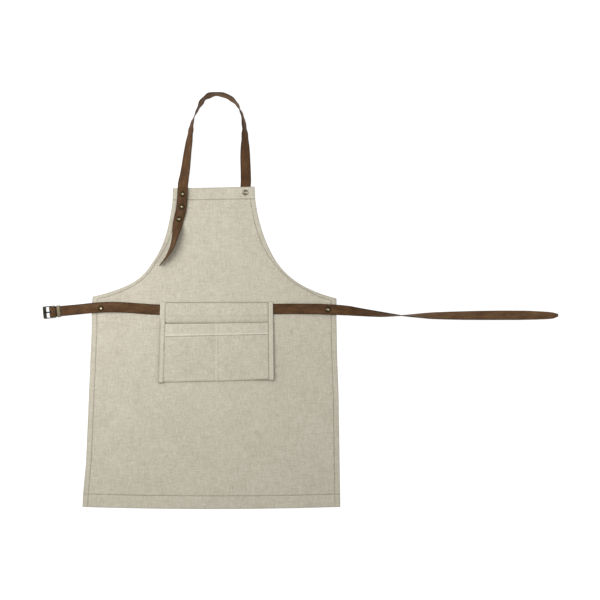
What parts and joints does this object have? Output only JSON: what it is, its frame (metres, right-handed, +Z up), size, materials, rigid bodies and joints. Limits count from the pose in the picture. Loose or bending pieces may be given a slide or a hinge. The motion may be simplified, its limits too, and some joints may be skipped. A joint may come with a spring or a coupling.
{
  "type": "apron",
  "caption": "Canvas work apron with a hanging divided front pocket and leather neck and waist straps held by snap fasteners and a buckle.",
  "frame": {"origin": "on the table, under the centre of the outline of the whole apron laid flat with its straps spread", "axes": "+X to the right as seen from the front, along the waist belt; +Y towards the bib; +Z up from the table, out of the apron's front"},
  "size_m": [1.3687, 1.1053, 0.0286],
  "materials": {
    "canvas": "plain-woven natural cotton canvas, matt",
    "leather": "oiled brown leather, darker burnished edges, low sheen",
    "antique_brass": "antique brass, darkened in its hollows",
    "dark_metal": "blackened metal, worn lighter along its edges",
    "nickel": "aged nickel, satin"
  },
  "bodies": {
    "apron": {"armhole_facing_left": "canvas", "armhole_facing_right": "canvas", "belt_middle": "leather", "belt_snap_left_post": "antique_brass", "belt_snap_left_stud": "antique_brass", "belt_snap_right_post": "antique_brass", "belt_snap_right_stud": "antique_brass", "belt_tunnel": "canvas", "bib_hem": "canvas", "bib_rivet_back": "antique_brass", "bib_rivet_cap": "nickel", "bib_snap_post": "antique_brass", "bib_snap_stud": "antique_brass", "bottom_hem": "canvas", "canvas_panel": "canvas", "neck_strap_anchor": "leather", "neck_strap_bridge": "leather", "side_hem_left": "canvas", "side_hem_right": "canvas", "tunnel_band_left": "canvas", "tunnel_band_right": "canvas"},
    "belt_left_end": {"belt_left": "leather", "belt_snap_left_cap": "antique_brass", "belt_snap_left_socket": "antique_brass"},
    "belt_right_end": {"belt_right": "leather", "belt_snap_right_cap": "antique_brass", "belt_snap_right_socket": "antique_brass"},
    "pocket_flap": {"pocket_backing": "canvas", "pocket_front": "canvas", "pocket_mouth_hem": "canvas", "pocket_band_left": "canvas", "pocket_band_right": "canvas"},
    "neck_strap_loop": {"neck_loop": "leather"},
    "neck_strap_tail": {"neck_tail": "leather", "bib_snap_cap": "antique_brass", "bib_snap_socket": "antique_brass", "tail_snap_middle_cap": "antique_brass", "tail_snap_middle_socket": "antique_brass", "tail_snap_end_cap": "antique_brass", "tail_snap_end_socket": "antique_brass"},
    "buckle": {"buckle_frame": "dark_metal"},
    "prong": {"buckle_prong": "dark_metal"},
    "keeper": {"keeper_loop": "antique_brass"}
  },
  "joints": [
    {"name": "belt_left_lift", "type": "hinge", "parent": "apron", "child": "belt_left_end", "pos_m": [-0.374, -0.0254, 0.0057], "axis": [0, 1, 0], "range_deg": [0, 110]},
    {"name": "belt_right_lift", "type": "hinge", "parent": "apron", "child": "belt_right_end", "pos_m": [-0.071, -0.0236, 0.0057], "axis": [0, -1, 0], "range_deg": [0, 110]},
    {"name": "pocket_flap_lift", "type": "hinge", "parent": "apron", "child": "pocket_flap", "pos_m": [-0.2225, -0.0436, 0.0069], "axis": [-1, 0, 0], "range_deg": [0, 80]},
    {"name": "neck_loop_lift", "type": "hinge", "parent": "apron", "child": "neck_strap_loop", "pos_m": [-0.228, 0.312, 0.0072], "axis": [1, 0, 0], "range_deg": [0, 80]},
    {"name": "neck_tail_lift", "type": "hinge", "parent": "apron", "child": "neck_strap_tail", "pos_m": [-0.3121, 0.2958, 0.0094], "axis": [-1, 0, 0], "range_deg": [0, 80]},
    {"name": "buckle_tilt", "type": "hinge", "parent": "belt_left_end", "child": "buckle", "pos_m": [-0.6617, -0.0317, 0.0056], "axis": [0.0976, -0.9952, 0], "range_deg": [0, 60]},
    {"name": "prong_lift", "type": "hinge", "parent": "buckle", "child": "prong", "pos_m": [-0.6617, -0.0317, 0.0056], "axis": [-0.0976, 0.9952, 0], "range_deg": [0, 100]},
    {"name": "keeper_slide", "type": "slide", "parent": "belt_left_end", "child": "keeper", "axis": [0.9952, 0.0976, 0], "range_m": [0, 0.04]}
  ]
}
